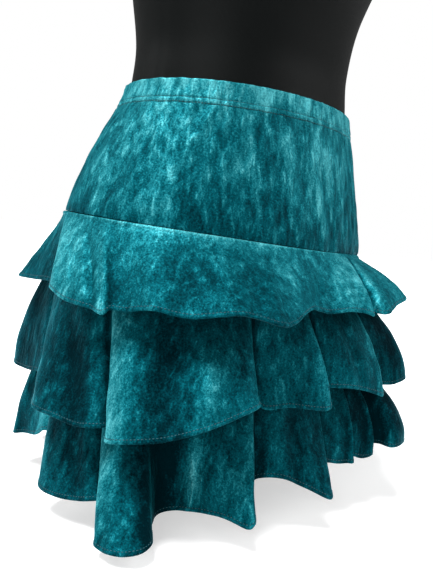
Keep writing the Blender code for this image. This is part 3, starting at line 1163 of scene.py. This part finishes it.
def floor_finish() -> Material:
    """Makes a matt pale floor that glows a little.

    Returns:
        The material.
    """
    desk = FinishDesk("pale_floor")
    cloud = desk.noise(3.0, 2.0, 0.0)
    tones = (Tone(0.60, 0.60, 0.60), Tone(0.64, 0.64, 0.64))
    return desk.finished(
        {
            "Base Color": desk.ramp(cloud, (0.3, 0.7), tones),
            "Roughness": desk.span(cloud, (0.3, 0.7), (0.85, 0.75)),
            "Specular IOR Level": 0.2,
            "Emission Color": WHITE,
            "Emission Strength": 0.55,
        }
    )


@dataclass(frozen=True)
class Finishes:
    """Every finish of the part, built once."""

    flounces: tuple[Material, ...]
    yoke: Material
    casing: Material
    backing: Material
    under_cloth: Material
    knit: Material
    thread: Material


def build_finishes() -> Finishes:
    """Builds the finishes.

    Returns:
        The finishes.
    """
    hems = (SewnLine(0.0031, 0.0010, 0.45),)
    rows = (SewnLine(0.0006, 0.0010, 0.4), SewnLine(0.0048, 0.0010, 0.4))
    # Painted light and shade of each velvet piece, its crush and its sewn lines.
    lifts = {
        "velvet_top": (PaintedLightLift(0.01, 0.035, 0.060), 0.20, hems),
        "velvet_middle": (PaintedLightLift(-0.025, -0.045, 0.100), 0.20, hems),
        "velvet_low": (PaintedLightLift(-0.033, -0.05, 0.100), 0.21, hems),
        "velvet_yoke": (PaintedLightLift(0.0, 0.045, 0.110), 0.28),
        "velvet_casing": (PaintedLightLift(0.095, 0.12, 0.020), 0.28, rows),
    }
    *flounces, yoke, casing = (
        VelvetFinish(name, *values).build() for name, values in lifts.items()
    )
    return Finishes(
        flounces=tuple(flounces),
        yoke=yoke,
        casing=casing,
        backing=KnitFinish("velvet_back").build(),
        under_cloth=KnitFinish("under_cloth").build(),
        knit=FORM_KNIT.build(),
        thread=thread_finish(),
    )


# ---------------------------------------------------------------- stitches


@dataclass(frozen=True)
class StitchRow:
    """A row of short stitches that follows a closed line."""

    length: float = 0.0019
    pitch: float = 0.0026
    thickness: float = 0.0006

    def tree(self, thread: Material) -> tuple[bpy.types.NodeTree, dict[str, str]]:
        """The node tree that lays stitches along a line.

        Args:
            thread: The stitches' finish.

        Returns:
            The tree, and each input's identifier by its name.
        """
        tree = bpy.data.node_groups.new("stitch_row", "GeometryNodeTree")
        face = tree.interface
        face.new_socket("Line", in_out="INPUT", socket_type="NodeSocketGeometry")
        names = {}
        kind = "NodeSocketFloat"
        for name in ("Pitch", "Length", "Thickness"):
            socket = face.new_socket(name, in_out="INPUT", socket_type=kind)
            names[name] = socket.identifier
        face.new_socket("Stitches", in_out="OUTPUT", socket_type="NodeSocketGeometry")
        given = tree.nodes.new("NodeGroupInput").outputs
        thick = given["Thickness"]
        curve = add_node(tree, "GeometryNodeMeshToCurve", {"Mesh": given["Line"]})
        inputs = {"Curve": curve, "Length": given["Pitch"]}
        even = add_node(tree, "GeometryNodeResampleCurve", inputs, mode="LENGTH")
        along = {"Vector": add_node(tree, "GeometryNodeInputTangent", {})}
        inputs = {"X": given["Length"], "Y": thick, "Z": thick}
        shape = {
            "Points": even,
            "Instance": add_node(
                tree, "GeometryNodeMeshIcoSphere", {"Radius": 0.5, "Subdivisions": 1}
            ),
            "Rotation": add_node(
                tree, "FunctionNodeAlignRotationToVector", along, axis="X"
            ),
            "Scale": add_node(tree, "ShaderNodeCombineXYZ", inputs),
        }
        made = add_node(tree, "GeometryNodeInstanceOnPoints", shape)
        for step in ("RealizeInstances", "SetShadeSmooth"):
            made = add_node(tree, "GeometryNode" + step, {"Geometry": made})
        inputs = {"Geometry": made, "Material": thread}
        made = add_node(tree, "GeometryNodeSetMaterial", inputs)
        fill_inputs(tree.nodes.new("NodeGroupOutput"), {"Stitches": made})
        return tree, names

    def build(
        self, name: str, lines: Sequence[Array], thread: Material
    ) -> bpy.types.Object:
        """Lays stitches along closed lines and makes them one plain mesh.

        Args:
            name: The piece's name.
            lines: The points of each closed line.
            thread: The stitches' finish.

        Returns:
            The piece.
        """
        points = []
        edges = []
        for line in lines:
            first = len(points)
            points += line.tolist()
            count = len(line)
            edges += [(first + n, first + (n + 1) % count) for n in range(count)]
        guide_mesh = bpy.data.meshes.new(name + "_line")
        guide_mesh.from_pydata(points, edges, [])
        guide = make_object(name + "_line", guide_mesh)
        tree, names = self.tree(thread)
        modifier = guide.modifiers.new("stitches", "NODES")
        modifier.node_group = tree
        modifier[names["Pitch"]] = self.pitch
        modifier[names["Length"]] = self.length
        modifier[names["Thickness"]] = self.thickness
        graph = bpy.context.evaluated_depsgraph_get()
        mesh = bpy.data.meshes.new_from_object(guide.evaluated_get(graph))
        guide.modifiers.clear()
        bpy.data.objects.remove(guide)
        mesh.name = name
        return make_object(name, mesh)


def line_above(middle: Array, wall: Array, row: int, lift: float) -> Array:
    """The points of one row, lifted off the cloth's face side."""
    normals = grid_normals(middle)
    return middle[row] + normals[row] * (wall[row] / 2 + lift)


def edge_round(step: float, thick: float) -> float:
    """Share of a wall's thickness that a round edge leaves, a step away from it."""
    near = min(step / (thick / 2), 1)
    return math.sqrt(max(1 - (1 - near) ** 2, EDGE_LEAST**2))


def edge_wall(plan: RowPlan, full: float, bead: float) -> Array:
    """Wall thickness of each row of a hemmed piece, round at both edges.

    Args:
        plan: The piece's rows.
        full: The cloth's thickness.
        bead: The turned hem's thickness.

    Returns:
        The thickness of each row.
    """
    top = [full * edge_round(step, full) for step in plan.top_steps]
    middle = [full] * (plan.middle_rows - 1)
    low = []
    for step in plan.hem_steps:
        turned = 1 / (1 + math.exp((step - HEM_TURN) / HEM_TURN_EDGE))
        low.append((full + (bead - full) * turned) * edge_round(step, bead))
    return np.array(top + middle + low)


# ------------------------------------------------------------------ pieces


def settle(piece: bpy.types.Object, nodes: Sequence[str] = ()) -> None:
    """Ties a piece to the frame.

    Args:
        piece: The piece.
        nodes: The solids that it stands for.
    """
    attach(piece, BODY)
    if nodes:
        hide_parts(*nodes)
    LOG.info("%s: %d faces", piece.name, len(piece.data.polygons))


@dataclass(frozen=True)
class Flounce:
    """One flounce, cut on a curve so that its hem falls in flutes."""

    name: str
    node: str
    level: int
    hem_points: tuple[HemPoint, ...]
    creases: tuple[Crease, ...]
    patches: tuple[PileAndLightPatch, ...]
    seam_drop: float
    outward: float
    gap: float
    ripples: Ripples
    flutter: Ripples
    flat: tuple[float, float]
    area: float
    rests_on: str
    columns: int = 840
    seam_ease: float = 0.006
    corner_ease: int = 2
    plan: RowPlan = RowPlan(
        (0.0, 0.0003, 0.0008, 0.0015, 0.0024, 0.0036),
        34,
        (0.0060, 0.0048, 0.0041, 0.0036, 0.0031, 0.0026)
        + (0.0020, 0.0014, 0.0009, 0.0005, 0.0002, 0.0),
    )
    bead: float = 0.0023
    seam_roll: float = 0.0009
    roll_drop: float = 0.0014
    roll_width: float = 0.0013
    stitch_row: int = -8
    stitch_lift: float = -0.0001

    def hem(self) -> tuple[Array, Array, Array]:
        """The hem, in even steps.

        Returns:
            Its places, the seam angle above each, and each column's flare.
        """
        rows = [astuple(point) for point in self.hem_points]
        angle, reach, drop, seam_angle, flare = np.array(rows).T
        turn = np.radians(angle)
        across = reach * np.sin(turn)
        along = -reach * np.cos(turn)
        knots = np.stack([across, along, YOKE_SEAM_HEIGHT - drop], axis=-1)
        line, passed = closed_curve(knots)
        steps = np.linalg.norm(np.roll(line, -1, axis=0) - line, axis=-1)
        length = np.concatenate([[0], np.cumsum(steps)])
        whole = length[-1]
        at_knots = np.append(length[passed], whole)
        wanted = np.arange(self.columns) / self.columns * whole
        closed = np.concatenate([line, line[:1]])
        axes = [np.interp(wanted, length, closed[:, axis]) for axis in range(3)]
        places = np.stack(axes, axis=-1)
        seam = np.interp(wanted, at_knots, np.append(seam_angle, seam_angle[0] + 360))
        flare = np.interp(wanted, at_knots, np.append(flare, flare[0]))
        steady = seam[0] + 360 * wanted / whole
        spread = round(self.seam_ease / whole * self.columns)
        places = eased(places, self.corner_ease)
        return places, steady + eased(seam - steady, spread), eased(flare, spread)

    def surface(self) -> tuple[Array, Array]:
        """The cloth's middle surface with its creases.

        Returns:
            The grid, and its painted light and shade with the swept pile.
        """
        end, seam_angle, flare = self.hem()
        level = np.full(seam_angle.shape, YOKE_SEAM_HEIGHT - self.seam_drop)
        top = CLOTH_BODY.points(seam_angle, level, self.outward)
        top[:, 2] = seam_height(self.seam_drop, seam_angle) - self.gap
        part = np.linspace(0, 1, FLOUNCE_SAMPLES)[:, None]
        quick = 1 - (1 - part) ** np.maximum(flare, 1)
        out = quick ** (1 / np.minimum(flare, 1))
        share = np.stack(np.broadcast_arrays(out, out, part), axis=-1)
        dense = top + (end - top) * share
        rows = eased(spread_rows(dense, self.plan).swapaxes(0, 1), 1)
        grid = rows.swapaxes(0, 1)
        length = walked(grid)
        down = length / length[-1]
        mean_reach = float(np.linalg.norm(end[:, :2], axis=-1).mean())
        pressed = crease_field(seam_angle[None, :], down, mean_reach, self.creases)
        share = np.arange(self.columns) / self.columns
        moved = pressed.copy()
        fade = np.sin(np.clip(down, 0, 1) * np.pi / 2)
        moved += self.ripples.field(share[None, :], down) * fade
        moved += self.flutter.field(share[None, :], down) * np.clip(down, 0, 1) ** 6
        roll = (length - self.roll_drop) / self.roll_width
        moved += self.seam_roll * np.exp(-(roll**2))
        # Painted highlight on ridges and on flanks facing one way round, painted shade
        # in troughs and sunken creases, then the patches.
        nap = PaintedFoldLight().nap(grid, pressed)
        nap += pile_and_light_field(seam_angle[None, :], down, self.patches)
        return grid + grid_normals(grid) * moved[..., None], nap

    def build(self, finishes: Finishes) -> None:
        """Builds the flounce and its hem stitches.

        Args:
            finishes: The part's finishes.
        """
        middle, nap = self.surface()
        wall = edge_wall(self.plan, VELVET_WALL, self.bead)
        velvet = finishes.flounces[self.level]
        piece = shell_object(self.name, middle, wall, velvet, finishes.backing, nap)
        settle(piece, [self.node])
        line = line_above(middle, wall, self.stitch_row, self.stitch_lift)
        row = StitchRow()
        stitches = row.build(self.name + "_hem_stitches", [line], finishes.thread)
        settle(stitches)


@dataclass(frozen=True)
class Band:
    """A fitted tube of cloth between two edges that go round the body."""

    name: str
    node: str
    top: Callable[[Array], Array]
    bottom: Callable[[Array], Array]
    outward: float
    plan: RowPlan
    columns: int
    creases: tuple[Crease, ...] = ()
    patches: tuple[PileAndLightPatch, ...] = ()
    ripples: Ripples = Ripples(5, 0.0)
    grooves: tuple[tuple[float, float, float], ...] = ()
    seam_depth: float = 0.0
    seam_width: float = 0.0012
    seam_reach: float = 1.6
    seam_columns: int = 17
    seam_clear: float = 2.0
    full_press: float = 0.0030

    def angles(self) -> Array:
        """Column angles, closer together beside the centre front seam.

        Returns:
            The angles in degrees.
        """
        even = np.arange(self.columns) * 360 / self.columns
        near = np.linspace(-self.seam_reach, self.seam_reach, self.seam_columns)
        clear = (even > self.seam_clear) & (even < 360 - self.seam_clear)
        both = np.concatenate([near % 360, even[clear]])
        return np.sort(both) + FRONT_SEAM_ANGLE

    def surface(self) -> tuple[Array, Array]:
        """The cloth's middle surface, with its creases and grooves.

        Returns:
            The grid, and its painted light and shade with the swept pile.
        """
        angles = self.angles()
        part = np.linspace(0, 1, BAND_SAMPLES)[:, None]
        heights = self.top(angles) * (1 - part) + self.bottom(angles) * part
        every = np.broadcast_to(angles, heights.shape)
        dense = CLOTH_BODY.points(every, heights, self.outward)
        grid = spread_rows(dense, self.plan)
        length = walked(grid)
        down = length / length[-1]
        reach = float(np.linalg.norm(grid[..., :2], axis=-1).mean())
        moved = crease_field(every[:1], down, reach, self.creases)
        # Painted highlight on ridge creases and painted shade in trough creases, then
        # the patches.
        nap = moved / self.full_press + pile_and_light_field(every[:1], down, self.patches)
        moved += self.ripples.field((angles[None, :] % 360) / 360, down)
        for distance, depth, width in self.grooves:
            up = length[-1] - length
            moved -= depth * np.exp(-(((up - distance) / width) ** 2))
        aside = np.radians((angles - FRONT_SEAM_ANGLE + 180) % 360 - 180) * reach
        moved -= self.seam_depth * np.exp(-((aside / self.seam_width) ** 2))
        return grid + grid_normals(grid) * moved[..., None], nap


def build_casing(finishes: Finishes) -> None:
    """Builds the folded casing over its elastic, with two rows of stitches.

    Args:
        finishes: The part's finishes.
    """
    band = Band(
        name="casing_cloth",
        node="waist_casing",
        top=lambda angles: 0 * angles + CASING_HEIGHT + CASING_DEPTH,
        bottom=lambda angles: 0 * angles + CASING_HEIGHT,
        outward=-CASING_WALL / 2,
        plan=RowPlan(
            (0.0, 0.0002, 0.0005, 0.0009, 0.0014, 0.0022),
            16,
            (0.0066, 0.0058, 0.0053, 0.0048, 0.0043, 0.0038)
            + (0.0028, 0.0018, 0.0012, 0.0006, 0.0),
        ),
        columns=440,
        ripples=Ripples(11, 0.00035, 30, 30, 120, 1.2),
        grooves=((0.0006, 0.0007, 0.0008), (0.0048, 0.0006, 0.0007)),
        seam_depth=0.0006,
    )
    middle, nap = band.surface()
    wall = edge_wall(band.plan, CASING_WALL, CASING_WALL)
    wall[-len(band.plan.hem_steps) :] = CASING_WALL
    sides = (finishes.casing, finishes.backing)
    piece = shell_object(band.name, middle, wall, *sides, nap)
    settle(piece, [band.node])
    lines = [line_above(middle, wall, row, 0.0) for row in CASING_STITCH_ROWS]
    stitches = StitchRow().build("casing_stitches", lines, finishes.thread)
    settle(stitches)


def build_yoke(finishes: Finishes) -> None:
    """Builds the fitted yoke.

    Args:
        finishes: The part's finishes.
    """
    band = Band(
        name="yoke_cloth",
        node="yoke",
        top=lambda angles: 0 * angles + CASING_HEIGHT - SEAM_GAP,
        bottom=lambda angles: seam_height(0, angles),
        outward=-VELVET_WALL / 2,
        plan=RowPlan(
            (0.0, 0.0006, 0.0014, 0.0024),
            50,
            (0.0036, 0.0028, 0.0021, 0.0015, 0.0010, 0.0006, 0.0003, 0.0),
        ),
        columns=520,
        creases=YOKE_CREASES,
        patches=YOKE_PATCHES,
        ripples=Ripples(23, 0.00040, 30, 24, 90, 4.0),
        grooves=((0.0, 0.0004, 0.0014),),
        seam_depth=0.0005,
    )
    middle, nap = band.surface()
    wall = np.full(len(middle), VELVET_WALL)
    piece = shell_object(band.name, middle, wall, finishes.yoke, finishes.backing, nap)
    settle(piece, [band.node])


def build_under_skirt(finishes: Finishes) -> None:
    """Builds the plain tube that carries the two lower flounces.

    Args:
        finishes: The part's finishes.
    """
    band = Band(
        name="under_skirt_cloth",
        node="under_skirt",
        top=lambda angles: seam_height(0, angles) - LINING_LOWERED,
        bottom=lambda angles: seam_height(THIRD_SEAM_DROP, angles),
        outward=-VELVET_WALL - LINING_GAP - LINING_WALL / 2,
        plan=RowPlan((0.0, 0.001), 20, (0.001, 0.0)),
        columns=300,
    )
    middle, _ = band.surface()
    wall = np.full(len(middle), LINING_WALL)
    piece = shell_object(
        band.name, middle, wall, finishes.under_cloth, finishes.under_cloth
    )
    settle(piece, [band.node])


@dataclass(frozen=True)
class DressForm:
    """The limbless form: a smooth knit-covered body with a base and a neck cap."""

    columns: int = 220
    rows: int = 190
    seam_depth: float = 0.0004
    seam_width: float = 0.0013
    cloth_clearance: float = 0.0044
    round_rows: int = 7
    cap_shares: tuple[float, ...] = (0.75, 0.5, 0.25)

    def sections(self) -> list[Section]:
        """The form's ovals, which keep inside the cloth where it covers them.

        Returns:
            The ovals, from the lowest to the highest.
        """
        covered = [
            Section(
                s.height,
                s.half_width - self.cloth_clearance,
                s.half_depth - self.cloth_clearance,
                s.forward,
            )
            for s in CLOTH_SECTIONS[1:]
        ]
        return [*LOWER_FORM_SECTIONS, *covered, *UPPER_FORM_SECTIONS]

    def build(self, finishes: Finishes) -> None:
        """Builds the form.

        Args:
            finishes: The part's finishes.
        """
        body = OvalBody(self.sections())
        low = body.table[0, 0]
        high = body.table[-1, 0]
        turns = np.linspace(0, np.pi / 2, self.round_rows)
        rounding = BASE_ROUNDING * (1 - np.sin(turns))
        rise = BASE_ROUNDING * (1 - np.cos(turns))
        between = np.linspace(low + BASE_ROUNDING, high - BASE_ROUNDING, self.rows)
        heights = np.concatenate([low + rise, between[1:-1], high - rise[::-1]])
        inset = np.concatenate([rounding, 0 * between[1:-1], rounding[::-1]])
        angles = np.arange(self.columns) * 360 / self.columns
        rings = []
        for height, moved in zip(heights[::-1], inset[::-1]):
            level = np.full(self.columns, height)
            rings.append(body.points(angles, level, -moved))
        grid = np.array(rings)
        for centre in (90, 270):
            aside = np.radians((angles - centre + 180) % 360 - 180) * FORM_REACH
            groove = self.seam_depth * np.exp(-((aside / self.seam_width) ** 2))
            grid[1:-1] -= grid_normals(grid)[1:-1] * groove[None, :, None]
        self.close(grid, finishes.knit)

    def close(self, grid: Array, knit: Material) -> None:
        """Makes the body of rings from the neck down, closed at both ends.

        Args:
            grid: The rings.
            knit: The cover's finish.
        """
        rows, columns = grid.shape[:2]
        points = [grid.reshape(-1, 3)]
        caps = []
        count = rows * columns
        for ring in (0, rows - 1):
            centre = grid[ring].mean(axis=0)
            outer = ring * columns + np.arange(columns)
            for share in self.cap_shares:
                points.append(centre + (grid[ring] - centre) * share)
                inner = count + np.arange(columns)
                caps.append((ring, outer, inner))
                outer = inner
                count += columns
            points.append(centre[None, :])
            caps.append((ring, outer, np.full(columns, count)))
            count += 1
        every = np.concatenate(points)
        faces = ring_faces(rows, columns).tolist()
        for ring, outer, inner in caps:
            for n in range(columns):
                m = (n + 1) % columns
                corners = [outer[n], outer[m], inner[m], inner[n]]
                if inner[n] == inner[m]:
                    corners = corners[:3]
                faces.append(corners if ring == 0 else corners[::-1])
        mesh = bpy.data.meshes.new("form_cover")
        mesh.from_pydata(every.tolist(), [], [[int(i) for i in f] for f in faces])
        mesh.polygons.foreach_set("use_smooth", np.ones(len(faces), dtype=bool))
        layer = mesh.uv_layers.new(name=MAP_NAME)
        index = np.empty(len(mesh.loops), dtype=np.int32)
        mesh.loops.foreach_get("vertex_index", index)
        places = every[index]
        turn = np.arctan2(places[:, 0], -places[:, 1])
        lengths = np.stack([turn * FORM_REACH, places[:, 2]], axis=-1)
        layer.data.foreach_set("uv", lengths.reshape(-1).astype(np.float32))
        mesh.materials.append(knit)
        piece = make_object("form_cover", mesh)
        settle(piece, ["dress_form"])


FLOUNCES = (
    Flounce(
        name="flounce_top",
        node="flounce_1",
        level=0,
        hem_points=FIRST_HEM,
        creases=FIRST_CREASES,
        patches=FIRST_PATCHES,
        seam_drop=0.0,
        outward=-VELVET_WALL / 2,
        gap=SEAM_GAP + VELVET_WALL / 2,
        ripples=Ripples(31, 0.0003),
        flutter=Ripples(71, 0.0002, 14, 70, 170, 0.5),
        flat=(1.388, 0.066),
        area=0.074,
        rests_on="yoke_cloth",
    ),
    Flounce(
        name="flounce_middle",
        node="flounce_2",
        level=1,
        hem_points=SECOND_HEM,
        creases=SECOND_CREASES,
        patches=SECOND_PATCHES,
        seam_drop=SECOND_SEAM_DROP,
        outward=-VELVET_WALL / 2 + SEAM_GAP,
        gap=0.0,
        ripples=Ripples(37, 0.0003),
        flutter=Ripples(77, 0.0002, 14, 70, 170, 0.5),
        flat=(1.491, 0.118),
        area=0.140,
        rests_on="under_skirt_cloth",
    ),
    Flounce(
        name="flounce_low",
        node="flounce_3",
        level=2,
        hem_points=THIRD_HEM,
        creases=THIRD_CREASES,
        patches=THIRD_PATCHES,
        seam_drop=THIRD_SEAM_DROP,
        outward=-VELVET_WALL - LINING_GAP - LINING_WALL / 2,
        gap=SEAM_GAP + VELVET_WALL / 2,
        ripples=Ripples(43, 0.0003),
        flutter=Ripples(83, 0.0002, 14, 70, 170, 0.5),
        flat=(1.708, 0.124),
        area=0.159,
        rests_on="under_skirt_cloth",
    ),
)


# ------------------------------------------------------------------- studio


@dataclass(frozen=True)
class Lamp:
    """A broad soft light from far away."""

    name: str
    place: tuple[float, float, float]
    breadth: float
    strength: float

    def build(self) -> None:
        """Builds the light, turned to the object."""
        data = bpy.data.lights.new(self.name, "SUN")
        data.angle = math.radians(self.breadth)
        data.energy = self.strength
        lamp = make_object(self.name, data)
        lamp.location = self.place
        lamp.rotation_mode = "QUATERNION"
        lamp.rotation_quaternion = (-Vector(self.place)).to_track_quat("-Z", "Y")


@dataclass(frozen=True)
class Studio:
    """The floor, the lights and the camera."""

    floor_reach: float = 14.0
    camera_place: tuple[float, float, float] = (-0.5253, -0.3834, 0.2354)
    camera_pitch: float = -5.04
    camera_roll: float = 5.56
    camera_heading: tuple[float, float] = (0.809, 0.588)
    lens: float = 41.44
    sky_seen: float = 1.0
    sky_light: float = 0.26

    def build(self) -> None:
        """Builds all of the studio."""
        self.build_floor()
        self.build_sky()
        for lamp in (
            Lamp("key", (-0.40, 0.03, 0.92), 22.0, 7.4),
            Lamp("left_side", (-0.42, 0.75, 0.60), 30.0, 1.0),
            Lamp("right_side", (0.58, -0.63, 0.62), 30.0, 1.6),
            Lamp("front_fill", (-0.86, -0.36, 0.30), 26.0, 1.2),
        ):
            lamp.build()
        self.build_camera()

    def build_floor(self) -> None:
        """Builds a wide round floor."""
        turns = np.linspace(0, 2 * np.pi, 96, endpoint=False)
        rim = np.stack([np.cos(turns), np.sin(turns), 0 * turns], axis=-1)
        rim *= self.floor_reach
        mesh = bpy.data.meshes.new("floor")
        mesh.from_pydata(rim.tolist(), [], [list(range(len(rim)))])
        mesh.materials.append(floor_finish())
        make_object("floor", mesh)

    def build_sky(self) -> None:
        """Fills the room with even pale light."""
        world = bpy.data.worlds.new("studio")
        world.use_nodes = True
        tree = world.node_tree
        ray = add_node(tree, "ShaderNodeLightPath", {}, "Is Camera Ray")
        levels = {"Value": ray, "To Min": self.sky_light, "To Max": self.sky_seen}
        level = add_node(tree, "ShaderNodeMapRange", levels)
        fill_inputs(tree.nodes["Background"], {"Color": WHITE, "Strength": level})
        bpy.context.scene.world = world

    def build_camera(self) -> None:
        """Places the camera where the photo was taken."""
        pitch = math.radians(self.camera_pitch)
        roll = math.radians(self.camera_roll)
        east, north = self.camera_heading
        level = math.cos(pitch)
        forward = Vector((east * level, north * level, math.sin(pitch)))
        forward.normalize()
        level_right = Vector((north, -east, 0)).normalized()
        level_up = level_right.cross(forward)
        right = math.cos(roll) * level_right + math.sin(roll) * level_up
        up = -math.sin(roll) * level_right + math.cos(roll) * level_up
        turned = Matrix((right, up, -forward)).transposed()
        data = bpy.data.cameras.new("camera")
        data.lens = self.lens
        data.sensor_width = 36.0
        camera = make_object("camera", data)
        camera.matrix_world = Matrix.Translation(self.camera_place) @ turned.to_4x4()
        bpy.context.scene.camera = camera


def main() -> None:
    """Builds every piece in order."""
    logging.basicConfig(level=logging.INFO, format="%(name)s: %(message)s")
    finishes = build_finishes()
    DressForm().build(finishes)
    build_casing(finishes)
    build_yoke(finishes)
    build_under_skirt(finishes)
    for flounce in FLOUNCES:
        flounce.build(finishes)
    Studio().build()
    bpy.context.scene.view_settings.view_transform = "Standard"


if __name__ == "__main__":
    main()
